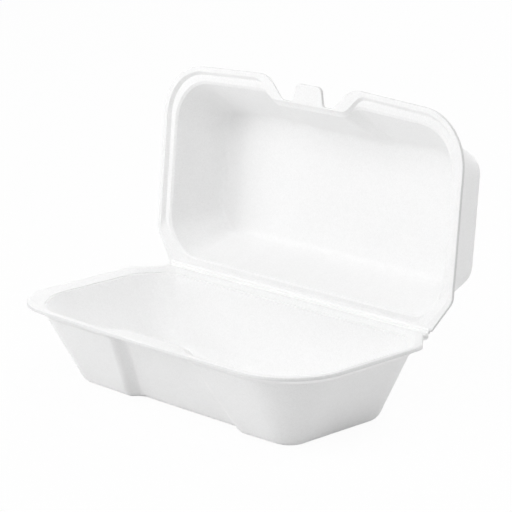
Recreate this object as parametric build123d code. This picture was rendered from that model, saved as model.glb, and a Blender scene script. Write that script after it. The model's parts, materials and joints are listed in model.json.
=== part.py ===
from build123d import *
from math import asin, hypot, sin, tan
import os

os.makedirs("parts", exist_ok=True)

# Driving sizes, in millimetres.
# Plan positions are given as the distance from the hinge line towards the front.

# Base rim
rim_half = 122.3
rim_top = 51.4
rim_front = 123.8
rim_bow = 2.8
rim_corner = 39.0
rim_thick = 2.2
lip_round = 1.5
bevel_start = 2.8
crease_drop = 2.7

# Rear corners and hinge line
corner_run = 15.4
hinge_half = rim_half - corner_run
hinge_gap = 0.3
lid_gap = 0.5
tray_rear = (hinge_half, 5.0, 21.0)
tray_cut = (17.0, 21.0, 9.0)
lid_rear = (hinge_half + 2.0, 2.5, 20.0)
bead_half = hinge_half + 1.4
bead_round = 0.8
bead_play = 0.1
groove_depth = 1.6
groove_round = 0.45
rear_round = 9.0
lug_length = 9.0
lug_reach = 1.9
lug_depth = 4.7
lug_height = 3.6
lug_round = 1.4

# Base wall
base_sheet = 2.8
shoulder_inset = 7.9
shoulder_half = rim_half - shoulder_inset
shoulder_front = rim_front - shoulder_inset + 0.6
shoulder_back = 5.2
shoulder_drop = 7.0
shoulder_corner = 38.0
foot_half = 89.7
foot_front = 92.8
foot_back = 13.5
foot_corner = 12.0
foot_round = 9.0
floor_round = 8.0
crease_round = 0.65

# Recess in the middle of the front wall
recess_depth = 5.6
recess_shift = 4.5
recess_top_half = 31.0
recess_foot_half = 45.0
flank_run = 2.6
flank_round = 5.5

# Lid
lid_sheet = 1.7
lid_proud = 0.5
lid_half = rim_half + lid_proud
lid_front = rim_front + lid_proud + 0.3
lid_bow = 5.6
lid_corner = 33.0
step_depth = 2.0
step_width = 2.9
ledge_inset = 9.5
ledge_half = lid_half - ledge_inset
ledge_front = lid_front - ledge_inset + 0.1
ledge_back = 7.0
ledge_corner = 27.0
crown_half = 104.0
crown_front = 96.2
crown_back = 20.6
crown_depth = 37.4
crown_corner = 10.0
crown_round = 7.5
crown_inner_round = 4.8
seat_gap = 0.3
edge_round = 0.5
flare_width = 1.2
flare_depth = 1.0
open_angle = 95.9

# Notch and locking tab of the lid
notch_floor = lid_front - 9.4
notch_half = 29.4
notch_run = 4.6
notch_lean = 3.5
set_back = 6.8
tab_tip_half = 10.0
tab_root_half = 12.5
tab_tip = lid_front + 1.8
tab_round = 4.0

origin_depth = (foot_front + foot_back) / 2


def rounded(corners, height):
    """Flat face at one height; every corner is (x, depth, radius), joined by lines and true arcs."""
    n = len(corners)
    ends = []
    edges = []
    for i in range(n):
        x, v, r = corners[i]
        here = Vector(x, origin_depth - v, height)
        xa, va, _ = corners[i - 1]
        xb, vb, _ = corners[(i + 1) % n]
        to_a = (Vector(xa, origin_depth - va, height) - here).normalized()
        to_b = (Vector(xb, origin_depth - vb, height) - here).normalized()
        half = asin((to_a - to_b).length / 2)
        reach = r / tan(half)
        middle = (to_a + to_b).normalized()
        deep = r / sin(half) - r
        ends.append((here + to_a * reach, here + middle * deep, here + to_b * reach))
    for i in range(n):
        start, top, stop = ends[i]
        edges.append(ThreePointArc(start, top, stop))
        edges.append(Line(stop, ends[(i + 1) % n][0]))
    return make_face(edges)


def mouth(half, back, front, corner, rear, bow, recess, height):
    """Outline with two large front corners, two cut rear corners and a set-back middle in the front."""
    cut_x, cut_v, rear_r = rear
    depth, middle, run, turn, shift = recess
    crest = front + bow
    left = [
        (-half + cut_x, back, rear_r),
        (-half, back + cut_v, rear_r),
        (-half, front, corner),
    ]
    flank = [(middle + run, crest, turn), (middle - run, crest - depth, turn)]
    dip = [(shift - x, v, r) for x, v, r in flank] + [(shift + x, v, r) for x, v, r in reversed(flank)]
    right = [(-x, v, r) for x, v, r in reversed(left)]
    return rounded(left + dip + right, height)


def rim(half, front, bow, corner, back, rear, height, middle=()):
    """Outer edge of a rim; rear says where the cut rear corners start and middle holds a notch."""
    hinge_half, step_back, corner_back = rear
    left = [
        (-hinge_half, back, 0.8),
        (-hinge_half - 1.5, step_back, 1.5),
        (-half, corner_back, rear_round),
        (-half, front, corner),
    ]
    left.extend(middle)
    crest = [] if middle else [(0, front + bow, 900.0)]
    right = [(-x, v, r) for x, v, r in reversed(left)]
    return rounded(left + crest + right, height)


def between(a, b, t):
    """Value a share t of the way from a to b."""
    return a + (b - a) * t


# Base tray

wall_height = rim_top - shoulder_drop
side_draft = (shoulder_half - foot_half) / wall_height
front_draft = (shoulder_front - foot_front) / wall_height
back_draft = (foot_back - shoulder_back) / wall_height
corner_growth = (shoulder_corner - foot_corner) / wall_height


def tray_level(height, inset):
    """Wall outline of the tray at one height, moved inwards by the sheet when inset is not zero."""
    t = height / wall_height
    side = inset * hypot(1, side_draft)
    front = inset * hypot(1, front_draft)
    back = inset * hypot(1, back_draft)
    cut = between(9.0, 16.5, t)
    return mouth(
        foot_half + side_draft * height - side,
        foot_back - back_draft * height + back,
        foot_front + front_draft * height - front,
        foot_corner + corner_growth * height - side,
        (cut - side * 0.4, cut - side * 0.4, between(11.5, 21.0, t) - side),
        between(1.0, 2.0, t),
        (recess_depth, between(recess_foot_half, recess_top_half, t), flank_run, flank_round, recess_shift),
        height,
    )


def foot_edges(solid, height):
    """Edges lying in the level plane at one height."""
    return solid.edges().filter_by_position(Axis.Z, height - 0.01, height + 0.01)


# Outer wall, rounded at the foot, opening into the shoulder under the rim
tub = loft([tray_level(0, 0), tray_level(wall_height, 0)], ruled=True)
tub = fillet(foot_edges(tub, 0), foot_round)
under_rim = mouth(
    rim_half - 0.8,
    hinge_gap + 2.0,
    rim_front - 0.8,
    rim_corner,
    tray_cut,
    2.0,
    (9.4, recess_top_half, 5.0, 12.0, recess_shift),
    rim_top - rim_thick,
)
shoulder = loft([tray_level(wall_height, 0), under_rim], ruled=True)

# Flat rim plate with a rolled lip
rim_outline = rim(rim_half, rim_front, rim_bow, rim_corner, hinge_gap, tray_rear, rim_top - rim_thick)
plate = extrude(rim_outline, rim_thick)
plate = fillet(foot_edges(plate, rim_top), lip_round)

# Inside: cavity up to the crease, then the bevel that opens to the lip
crease = rim_top - crease_drop
cavity = loft([tray_level(base_sheet, base_sheet), tray_level(crease, base_sheet)], ruled=True)
cavity = fillet(foot_edges(cavity, base_sheet), floor_round)
lip_inner = mouth(
    rim_half - bevel_start,
    hinge_gap + bevel_start + 1.0,
    rim_front - bevel_start,
    rim_corner - bevel_start,
    tray_cut,
    2.0,
    (7.0, recess_top_half - 2.0, 5.0, 16.0, recess_shift),
    rim_top,
)
bevel = loft([tray_level(crease, base_sheet), lip_inner], ruled=True)

# Fine line pressed all round where the rim turns down into the wall
crease_path = tray_level(crease, base_sheet).face().outer_wire()
crease_line = sweep(Plane(crease_path @ 0, z_dir=crease_path % 0) * Circle(crease_round), path=crease_path)

# Rounded hinge bead along the rear edge, with a shallow line pressed in front of it
hinge_height = rim_top + seat_gap / 2
bead = Pos(0, origin_depth, hinge_height) * Cylinder(bead_round, 2 * bead_half, rotation=(0, 90, 0))
groove = Cylinder(groove_round, 2 * bead_half - 6, rotation=(0, 90, 0))
groove = Pos(0, origin_depth - groove_depth, rim_top) * groove

# Square strip of the rim that carries the bead, and a thicker rounded lug at each of its ends
heel = Box(2 * bead_half - 4, lip_round, lip_round)
heel = Pos(0, origin_depth - hinge_gap - lip_round / 2, rim_top - lip_round / 2) * heel
lug = fillet(Box(lug_length, lug_depth, lug_height).edges(), lug_round)
lug_x = hinge_half + lug_reach - lug_length / 2
lug_y = origin_depth - hinge_gap - lug_depth / 2
lugs = [Pos(side * lug_x, lug_y, rim_top - lug_height / 2) * lug for side in (-1, 1)]

base_tray = tub + shoulder + plate + heel + bead + lugs - cavity - bevel - crease_line - groove

export_step(base_tray, "parts/base_tray.step")

# Lid, drawn closed over the tray; its heights are measured up from the face of its rim

closed_face = rim_top + seat_gap
crown_span = crown_depth - step_depth
lid_side = (ledge_half - crown_half) / crown_span
lid_front_draft = (ledge_front - crown_front) / crown_span
lid_back = (crown_back - ledge_back) / crown_span
lid_taper = (ledge_corner - crown_corner) / crown_span


def lid_level(height, grow):
    """Inner wall outline of the lid at one height, moved outwards by the sheet when grow is not zero."""
    rise = height - step_depth
    t = rise / crown_span
    side = grow * hypot(1, lid_side)
    front = grow * hypot(1, lid_front_draft)
    back = grow * hypot(1, lid_back)
    cut = between(15.0, 10.0, t) + side * 0.4
    return mouth(
        ledge_half - lid_side * rise + side,
        ledge_back + lid_back * rise - back,
        ledge_front - lid_front_draft * rise + front,
        ledge_corner - lid_taper * rise + side,
        (cut, cut, between(19.0, 12.0, t) + side),
        between(3.0, 0.4, t),
        (between(set_back, 0.8, t), notch_half + 3.5, 5.0, 12.0, 0),
        closed_face + height,
    )


def step_level(inset, height, ease):
    """Outline of the step inside the lid's rim; ease spreads its slope at the rear corners and the tab."""
    crest = lid_front + lid_bow * 0.72 - inset
    middle = between(notch_floor - 0.5, ledge_front - set_back + 4.4, ease)
    return mouth(
        lid_half - inset,
        hinge_gap + inset - 1.9,
        lid_front - inset,
        lid_corner - inset,
        (between(15.5, 21.0, ease), between(18.5, 22.0, ease), 9.0),
        lid_bow * 0.72,
        (crest - middle, notch_half + 6.5, 5.6, 9.0, 0),
        closed_face + height,
    )


def lid_outline(height, lean):
    """Outer edge of the lid with its two notches and the tab; lean opens the notches."""
    notch = [
        (-notch_half - notch_run - lean, lid_front + lid_bow * 0.74, 16.0),
        (-notch_half + notch_run * 1.9 - lean, notch_floor, 4.0),
        (-tab_root_half, notch_floor, 2.2),
        (-tab_tip_half, tab_tip, tab_round),
    ]
    return rim(lid_half, lid_front, lid_bow, lid_corner, lid_gap, lid_rear, closed_face + height, notch)


def level_block(half, back, front, low, high):
    """Plain block between two depths and two heights of the lid."""
    size = Box(2 * half, front - back, high - low)
    return Pos(0, origin_depth - (front + back) / 2, closed_face + (low + high) / 2) * size


# Flat rim, the step behind it and the drafted wall up to the rounded crown
lid_plate = extrude(lid_outline(0, 0), lid_sheet)
lid_plate = fillet(foot_edges(lid_plate, closed_face), edge_round)
crown_top = crown_depth + lid_sheet
step_low = step_level(step_width - 1.7, 0.5, 0.0)
step_high = step_level(step_width, step_depth + lid_sheet, 0.6)
step = loft([step_low, step_high], ruled=True)
shell = loft([lid_level(step_depth, lid_sheet), lid_level(crown_top, lid_sheet)], ruled=True)
shell = fillet(foot_edges(shell, closed_face + crown_top), crown_round)

# Inside: the step, then the hollow, whose first band is a flare that softens the edge of the ledge
pocket_low = step_level(step_width, -0.2, 0.0)
pocket_high = step_level(step_width + 2.1, step_depth, 1.0)
pocket = loft([pocket_low, pocket_high], ruled=True)
flare_mouth = lid_level(step_depth - 0.1, flare_width)
flare_end = lid_level(step_depth + flare_depth, 0)
hollow = loft([flare_mouth, flare_end, lid_level(crown_depth, 0)], ruled=True)
hollow = fillet(foot_edges(hollow, closed_face + crown_depth), crown_inner_round)

bead_seat = Pos(0, origin_depth, hinge_height) * Cylinder(bead_round + bead_play, 260, rotation=(0, 90, 0))
trim = loft([lid_outline(-0.1, 0), lid_outline(6, notch_lean)], ruled=True)


lid_frame = (lid_plate + step) & trim
lid_closed = lid_frame + shell - pocket - hollow - bead_seat

hinge_line = Axis((0, origin_depth, hinge_height), (-1, 0, 0))
lid = lid_closed.rotate(hinge_line, open_angle)

export_step(lid, "parts/lid.step")
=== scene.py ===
# %% [markdown]
# # Hinged foam takeaway container
# One white sheet of expanded foam is pressed into two bowls, a tray and a lid, joined
# along a thin pressed line that folds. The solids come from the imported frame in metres,
# so this lesson only adds what a solid cannot show: the foam's fine skin, the folded web
# of the hinge, a soft light and the camera that took the reference picture.

# %% Frame
import json
from math import cos, radians, sin
import bpy
from mathutils import Matrix, Vector


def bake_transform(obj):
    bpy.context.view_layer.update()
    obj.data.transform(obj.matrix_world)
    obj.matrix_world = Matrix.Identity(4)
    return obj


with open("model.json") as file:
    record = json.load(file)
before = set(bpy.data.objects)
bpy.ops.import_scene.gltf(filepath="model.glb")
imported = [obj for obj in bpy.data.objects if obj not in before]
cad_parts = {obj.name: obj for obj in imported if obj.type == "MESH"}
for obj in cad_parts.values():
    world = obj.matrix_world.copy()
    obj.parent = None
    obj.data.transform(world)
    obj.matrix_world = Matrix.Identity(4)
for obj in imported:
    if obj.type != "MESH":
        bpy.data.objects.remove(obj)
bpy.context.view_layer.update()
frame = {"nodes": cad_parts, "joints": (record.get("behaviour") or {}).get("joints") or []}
tray = frame["nodes"]["base_tray"]
lid = frame["nodes"]["lid"]
hinge_y, hinge_z = frame["joints"][0]["pos_m"][1:]

# %% [markdown]
# ## Soft edges on moulded walls
# Pressed foam has no sharp edge: every fold of the sheet is a small curve. The solids have
# the large curves, and narrow flares where the sheet turns. A subdivision would round the
# flares too, but it moves the surface. A weighted normal modifier moves no vertex: it
# shades from the large faces and lets a narrow one blend between its neighbours, so that
# a flare reads as a rounded edge. Only turns above the limit stay crisp.

# %% Shading that rounds the narrow flares
def soften_edges(piece, limit):
    """Smooth shading led by the large faces; turns above the limit, in degrees, stay crisp."""
    piece.data.shade_smooth()
    piece.data.set_sharp_from_angle(angle=radians(limit))
    weigh = piece.modifiers.new("soft_edges", "WEIGHTED_NORMAL")
    weigh.keep_sharp = True


crisp_above = 50
for half in (tray, lid):
    soften_edges(half, crisp_above)
    print(half.name, len(half.data.polygons), "faces, crisp above", crisp_above, "degrees")

# %% [markdown]
# ## The skin of expanded foam
# Expanded foam is a mass of tiny closed cells. Pressed in a warm mould, its surface
# becomes a smooth matte skin that still shows the cells as a faint, even mottling. A noise
# texture would give clouds; a Voronoi texture gives what is there, separate cells a little
# over half a millimetre wide, each with its own random value. Its colour output tints each
# cell by up to 3.5 percent either way, and its distance output domes it. A slow noise adds
# the patches where the skin is denser. All the foam pieces need this, so it is one node
# group, with the depth of each tint as an input, and a shade factor and a height as
# outputs.

# %% Helpers that add nodes
def feed(tree, node, inputs):
    """Give each named input its plain value, or a link where the value is an output."""
    for socket, value in inputs.items():
        if isinstance(value, bpy.types.NodeSocket):
            tree.links.new(value, node.inputs[socket])
        else:
            node.inputs[socket].default_value = value


def new_node(tree, kind, inputs, **options):
    """Add a shader node, choose its options, then feed its inputs."""
    node = tree.nodes.new("ShaderNode" + kind)
    for option, choice in options.items():
        setattr(node, option, choice)
    feed(tree, node, inputs)
    return node


def math_node(tree, operation, first, second, **options):
    """Output of a math node; each side is a plain number or another node's output."""
    node = new_node(tree, "Math", {0: first, 1: second}, operation=operation, **options)
    return node.outputs["Value"]


# %% Helper that starts a node group
def new_group(name, inputs, outputs):
    """Group with typed sockets: the group, the values given to it, and its end node."""
    group = bpy.data.node_groups.new(name, "ShaderNodeTree")
    for direction, sockets in (("INPUT", inputs), ("OUTPUT", outputs)):
        for label, kind in sockets.items():
            group.interface.new_socket(label, in_out=direction, socket_type="NodeSocket" + kind)
    return group, group.nodes.new("NodeGroupInput").outputs, group.nodes.new("NodeGroupOutput")


# %% Group with the foam grain
cells_per_metre = 1600
patches_per_metre = 70
patch_detail = 4


def foam_grain_group():
    """Group: position and tint depths in; a shade factor around 1 and a relief height out."""
    group, given, result = new_group(
        "foam_grain",
        {"Position": "Vector", "Cell Tint": "Float", "Patch Tint": "Float"},
        {"Shade": "Float", "Relief": "Float"},
    )
    cells = new_node(group, "TexVoronoi", {"Vector": given["Position"], "Scale": cells_per_metre})
    patches = new_node(group, "TexNoise", {
        "Vector": given["Position"], "Scale": patches_per_metre, "Detail": patch_detail,
    })
    tints = []
    for value, depth in (
        (cells.outputs["Color"], given["Cell Tint"]),
        (patches.outputs["Fac"], given["Patch Tint"]),
    ):
        centred = math_node(group, "SUBTRACT", value, 0.5)
        tints.append(math_node(group, "MULTIPLY", centred, depth))
    tint = math_node(group, "ADD", *tints)
    feed(group, result, {
        "Shade": math_node(group, "ADD", tint, 1.0),
        "Relief": math_node(group, "MULTIPLY", cells.outputs["Distance"], -1.0),
    })
    return group


foam_grain = foam_grain_group()
print("group", foam_grain.name, len(foam_grain.nodes), "nodes")

# %% [markdown]
# ## Painted shade on the cut edge of the rim
# After moulding, the sheet is stamped out along its rim. Its thin edge is given painted
# shade, a shade darker than the pressed faces; on a white ground this fine line is what
# draws the outline of the box. It could be a separate strip or a painted line. A mask
# follows it better: it is 1 where the surface lies within the rim's thickness below its
# face and turns away from that face, so the painted shade follows the rim round every
# corner, notch and tab. Only the outward side counts, because the mouths of the bowls are
# pressed, not cut. Both halves use it, each with its own face, so it is a group too.

# %% Helpers for masks
def eased(tree, value, low, high):
    """Output that is 0 at low and 1 at high, with a smooth step between."""
    node = new_node(
        tree, "MapRange", {"Value": value, "From Min": low, "From Max": high},
        interpolation_type="SMOOTHSTEP",
    )
    return node.outputs["Result"]


def dot_product(tree, first, second):
    """How far the first vector goes along the second."""
    node = new_node(tree, "VectorMath", {0: first, 1: second}, operation="DOT_PRODUCT")
    return node.outputs["Value"]


# %% Group with the mask of the painted shade on the cut edge
# Each pair gives where the mask is 0 and where it is 1: the depth below the rim's face and
# the reach outward from the bowl's middle in metres, and how squarely the surface looks the
# same way as the face, where 1 is the face itself.
below_steps = (0.0026, 0.0021)
square_steps = (0.85, 0.45)
outward_steps = (0.0, 0.01)


def edge_shade_mask_group():
    """Group: place, normal and the rim's face in; 1 on the cut edge, where shade is painted, and 0
    elsewhere out.
    """
    group, given, result = new_group(
        "edge_shade_mask",
        {
            "Position": "Vector", "Normal": "Vector", "Face Direction": "Vector",
            "Centre": "Vector", "Face Level": "Float",
        },
        {"Mask": "Float"},
    )
    level = dot_product(group, given["Position"], given["Face Direction"])
    below = math_node(group, "SUBTRACT", given["Face Level"], level)
    turned = dot_product(group, given["Normal"], given["Face Direction"])
    square = math_node(group, "ABSOLUTE", turned, 0.0)
    reach = new_node(
        group, "VectorMath", {0: given["Position"], 1: given["Centre"]}, operation="SUBTRACT",
    )
    outward = dot_product(group, given["Normal"], reach.outputs["Vector"])

    mask = eased(group, outward, *outward_steps)
    for part in (eased(group, below, *below_steps), eased(group, square, *square_steps)):
        mask = math_node(group, "MULTIPLY", mask, part)
    feed(group, result, {"Mask": mask})
    return group


edge_shade_mask = edge_shade_mask_group()
print("group", edge_shade_mask.name, len(edge_shade_mask.nodes), "nodes")

# %% [markdown]
# ## Foam material
# The sheet is white all through and matte, with a very faint sheen from its pressed skin.
# The grain multiplies the colour by its shade factor and drives a bump of a few hundredths
# of a millimetre. Painted shade on the cut edge multiplies the colour once more. The web of
# the hinge is the same foam pressed thin and bent; its copy is painted a little whiter, a
# painted highlight for its lit ridge, with a weaker grain and no painted edge shade.

# %% Material maker
cell_height = 0.00005


def foam_material(name, white, cell_tint, patch_tint, relief, edge=None):
    """White expanded foam with the shared grain, and painted shade on the cut edge where that is
    given.
    """
    material = bpy.data.materials.new(name)
    material.use_nodes = True
    tree = material.node_tree
    place = new_node(tree, "TexCoord", {}).outputs
    grain = new_node(tree, "Group", {
        "Position": place["Object"], "Cell Tint": cell_tint, "Patch Tint": patch_tint,
    }, node_tree=foam_grain)
    shade = grain.outputs["Shade"]
    if edge:
        rim = new_node(tree, "Group", {
            "Position": place["Object"], "Normal": place["Normal"],
            "Face Direction": edge["face"], "Face Level": edge["level"],
            "Centre": edge["centre"],
        }, node_tree=edge_shade_mask)
        # Painted shade: the cut edge loses this share of its colour.
        lost = math_node(tree, "MULTIPLY", rim.outputs["Mask"], -edge["tint"])
        kept = math_node(tree, "ADD", lost, 1.0)
        shade = math_node(tree, "MULTIPLY", kept, shade)
    tone = new_node(tree, "VectorMath", {0: white, "Scale": shade}, operation="SCALE")
    bump = new_node(tree, "Bump", {
        "Height": grain.outputs["Relief"], "Strength": relief, "Distance": cell_height,
    })
    feed(tree, tree.nodes["Principled BSDF"], {
        "Base Color": tone.outputs["Vector"], "Roughness": 0.6,
        "Specular IOR Level": 0.25, "Normal": bump.outputs["Normal"],
    })
    return material


# %% Foam on both halves
# Painted edge shade is told by the way its rim's face looks, how far along that the face
# lies, in metres, a point in the middle of the bowl's mouth, and the share of light it takes.
lid_lean = radians(5.9)
tray_painted_shade = {"face": (0, 0, 1), "level": 0.0514, "centre": (0, -0.01, 0.05), "tint": 0.14}
lid_painted_shade = {
    "face": (0, -cos(lid_lean), sin(lid_lean)), "level": -0.0477,
    "centre": (0, 0.06, 0.115), "tint": 0.2,
}
foam_white = (0.93, 0.93, 0.93)
for half, edge in ((tray, tray_painted_shade), (lid, lid_painted_shade)):
    label = "tray_foam" if half is tray else "lid_foam"
    foam = foam_material(label, foam_white, cell_tint=0.07, patch_tint=0.02, relief=0.4, edge=edge)
    half.data.materials.clear()
    half.data.materials.append(foam)
    print(foam.name, "on", half.name)

# %% Foam of the web
# Painted highlight: the web's copy of the foam is painted whiter than the halves, for its lit
# ridge.
web_painted_white = (0.98, 0.98, 0.98)
web_foam_painted_light = foam_material("web_foam_painted_light", web_painted_white, cell_tint=0.02, patch_tint=0.01, relief=0.05)
print(web_foam_painted_light.name, len(web_foam_painted_light.node_tree.nodes), "nodes")

# %% [markdown]
# ## The folded web of the hinge
# Between the halves the sheet is pressed thin. Opened, it stands up as a fine ridge over a
# narrow valley, all along the fold. It could be a strip of cloth, but pressed foam keeps
# its bends, so it is one profile drawn out straight along the hinge: a closed skin whose
# ridge sinks a little at both ends. It crosses the joint, drawn for the halves as they
# stand; it does not bend when the lid turns.

# %% Profile of the web
# Each point is (forward of the hinge line, up from it), in millimetres, from the tray's
# rim up to the face of the lid.
millimetre = 0.001
web_profile = [
    (2.55, -0.16), (2.15, -0.12), (1.8, -0.16), (1.5, -0.14), (1.3, 0.02), (1.16, 0.16),
    (1.0, 0.24), (0.86, 0.32), (0.8, 0.46), (0.86, 0.6), (1.02, 0.7), (1.16, 0.84),
    (1.17, 1.02), (1.02, 1.18), (0.74, 1.27), (0.42, 1.3), (0.14, 1.34), (-0.05, 1.43),
    (-0.17, 1.6), (-0.25, 1.88), (-0.31, 2.2), (-0.37, 2.6),
]
half_length = 0.1084
stations = 161
print("web profile", len(web_profile), "points over", round(2000 * half_length), "mm")

# %% Points of the web
# Near each end the ridge sinks to a share of its height. The underside repeats the face,
# with a smaller ridge, set in by a twentieth of a millimetre.
end_fade = 0.004
end_height = 0.6
under_shrink = 0.12
under_inset = 0.05


def web_points():
    """Stations along the hinge line, each with the points of the face, then the underside."""
    points = []
    for station in range(stations):
        x = half_length * (2 * station / (stations - 1) - 1)
        inward = min(1.0, (half_length - abs(x)) / end_fade)
        swell = end_height + (1 - end_height) * inward ** 0.5
        for under in (0, 1):
            inset = under * under_inset
            for forward, up in web_profile:
                on_ridge = up > 0 and forward > 0
                grow = swell - under * under_shrink if on_ridge else 1.0
                y = hinge_y - millimetre * (forward * grow - inset)
                z = hinge_z + millimetre * (up * grow - inset)
                points.append((x, y, z))
    return points


# %% Faces of the web
def web_faces():
    """Faces that close the strip: face and underside, the two long edges and the two ends."""
    faces = []
    across = len(web_profile)
    ring = 2 * across
    for station in range(stations - 1):
        a, b = station * ring, (station + 1) * ring
        for i in range(across - 1):
            faces.append((a + i, b + i, b + i + 1, a + i + 1))
            faces.append((a + across + i, a + across + i + 1, b + across + i + 1, b + across + i))
        faces.append((a, a + across, b + across, b))
        faces.append((a + across - 1, b + across - 1, b + ring - 1, a + ring - 1))
    last = (stations - 1) * ring
    for i in range(across - 1):
        faces.append((i, i + 1, across + i + 1, across + i))
        faces.append((last + i, last + across + i, last + across + i + 1, last + i + 1))
    return faces


# %% Web across the hinge
web_mesh = bpy.data.meshes.new("hinge_web")
web_mesh.from_pydata(web_points(), [], web_faces())
web_mesh.validate()
web_mesh.shade_smooth()
web_mesh.materials.append(web_foam_painted_light)
web = bpy.data.objects.new("hinge_web", web_mesh)
bpy.context.scene.collection.objects.link(web)
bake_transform(web)
print("web", len(web.data.polygons), "faces")

# %% [markdown]
# ## Floor and backdrop
# The reference stands on a seamless white sweep. One large plane is enough here: it looks
# white to the camera and still takes the container's soft shadow, because only part of
# what the camera sees of it is its own glow. Everything else sees a plain pale floor.

# %% Helper for what is looked at
def looked_at(tree):
    """1 where the camera or a reflection looks, 0 for the light that falls on things."""
    path = new_node(tree, "LightPath", {}).outputs
    mask = path["Is Camera Ray"]
    for kind in ("Is Glossy Ray", "Is Transmission Ray"):
        mask = math_node(tree, "ADD", mask, path[kind], use_clamp=True)
    return mask


# %% White floor
# The plane lies a fifth of a millimetre below the tray's foot, so that the two never touch.
floor_width = 12.0
floor_gap = 0.0002
floor_pale = (0.9, 0.9, 0.9, 1)
floor_glow = 0.95


def floor_material():
    """Matte and pale in the light, with a share of plain white mixed in for the camera."""
    material = bpy.data.materials.new("floor_white")
    material.use_nodes = True
    tree = material.node_tree
    lit = tree.nodes["Principled BSDF"]
    feed(tree, lit, {"Base Color": floor_pale, "Roughness": 0.9, "Specular IOR Level": 0})
    plain = new_node(tree, "Emission", {"Strength": 1.0})
    share = math_node(tree, "MULTIPLY", looked_at(tree), floor_glow)
    mix = new_node(tree, "MixShader", {"Fac": share, 1: lit.outputs[0], 2: plain.outputs[0]})
    feed(tree, tree.nodes["Material Output"], {"Surface": mix.outputs[0]})
    return material


bpy.ops.mesh.primitive_plane_add(size=floor_width, location=(0, 0, -floor_gap))
floor = bpy.context.object
floor.name = "floor"
floor.data.materials.append(floor_material())
print("floor", floor.dimensions[:])

# %% [markdown]
# ## Studio light
# White foam on white shows its form only through light, and the reference has an even ring
# of it: the lid's floor and the tray's rear wall, which face the lens side, are brightest,
# the front wall a step darker, the end wall darker still, and the corner that faces the
# lens is darkest, because little shines from there. One large lamp can't do that. Seven
# wide soft lamps round the container, each weaker than a single key light would be, repeat
# it. They were balanced one against another until each wall had its tone at a plain level.

# %% World
def pale_world(strength):
    """Even pale room light; what looks at it sees plain white."""
    world = bpy.data.worlds.new("pale_room")
    bpy.context.scene.world = world
    world.use_nodes = True
    tree = world.node_tree
    room = tree.nodes["Background"]
    plain_white = (1, 1, 1, 1)
    feed(tree, room, {"Color": plain_white, "Strength": strength})
    seen = new_node(tree, "Background", {"Color": plain_white})
    mix = new_node(tree, "MixShader", {
        "Fac": looked_at(tree), 1: room.outputs[0], 2: seen.outputs[0],
    })
    feed(tree, tree.nodes["World Output"], {"Surface": mix.outputs[0]})
    return world


room_light = 0.02
print("world", pale_world(room_light).name, "at", room_light)

# %% Soft lamps
# Each row: name, turn round from the front and rise in degrees, width in metres, watts.
ring_of_lamps = [
    ("front_left_low", -50, 12, 1.0, 12.5),
    ("front_left_high", -20, 35, 1.6, 18.5),
    ("front_right_high", 45, 45, 1.6, 15.5),
    ("rear_right_low", 150, 12, 1.0, 10),
    ("rear_right_high", 120, 62, 1.6, 13),
    ("rear_left_high", -150, 35, 1.6, 17),
    ("overhead", 0, 89, 1.6, 6),
]
lamp_distance = 2.2
lit_middle = Vector((0, 0, 0.08))


def outward_way(turn, rise):
    """Direction from the container that is turned round from the front and raised."""
    return Vector((sin(turn) * cos(rise), -cos(turn) * cos(rise), sin(rise)))


def soft_lamp(name, turn, rise, width, watts):
    """Square area lamp that faces the middle of the container and isn't seen itself."""
    data = bpy.data.lights.new(name, "AREA")
    data.shape = "SQUARE"
    data.size = width
    data.energy = watts
    lamp = bpy.data.objects.new(name, data)
    lamp.location = lit_middle + lamp_distance * outward_way(radians(turn), radians(rise))
    lamp.rotation_euler = (lit_middle - lamp.location).to_track_quat("-Z", "Y").to_euler()
    lamp.visible_camera = False
    bpy.context.scene.collection.objects.link(lamp)
    return lamp


for row in ring_of_lamps:
    lamp = soft_lamp(*row)
    print(lamp.name, [round(v, 2) for v in lamp.location], lamp.data.energy, "W")

# %% [markdown]
# ## Camera
# The reference is a long-lens product shot, about 45 degrees round from the front and 15
# degrees above the floor. The place and lens below were found by laying the solids' edges
# over the picture's.

# %% Camera
turn, rise, roll = radians(45.81), radians(14.87), radians(-0.40)
aim = Vector((0.08107, -0.05631, 0.11220))
camera_distance = 1.3
picture_width = 512
focal_length = 2427.37  # in the picture's own pixels
film_width = 36

camera_data = bpy.data.cameras.new("camera")
camera_data.sensor_width = film_width
camera_data.lens = focal_length / picture_width * film_width
camera_data.clip_end = 50
camera = bpy.data.objects.new("camera", camera_data)
bpy.context.scene.collection.objects.link(camera)
away = outward_way(turn, rise)
facing = (-away).to_track_quat("-Z", "Y").to_matrix().to_4x4()
place = Matrix.Translation(aim + away * camera_distance)
camera.matrix_world = place @ facing @ Matrix.Rotation(roll, 4, "Z")
bpy.context.scene.camera = camera
print("camera at", [round(v, 3) for v in camera.location], "lens", round(camera_data.lens, 1))

# %% [markdown]
# ## Colour management
# A film-like view would bend the whites of the foam towards grey. The Standard view shows
# each tone as the light and the material give it, so a white can be judged by its number.

# %% Colour management
bpy.context.scene.view_settings.view_transform = "Standard"
print("view", bpy.context.scene.view_settings.view_transform)
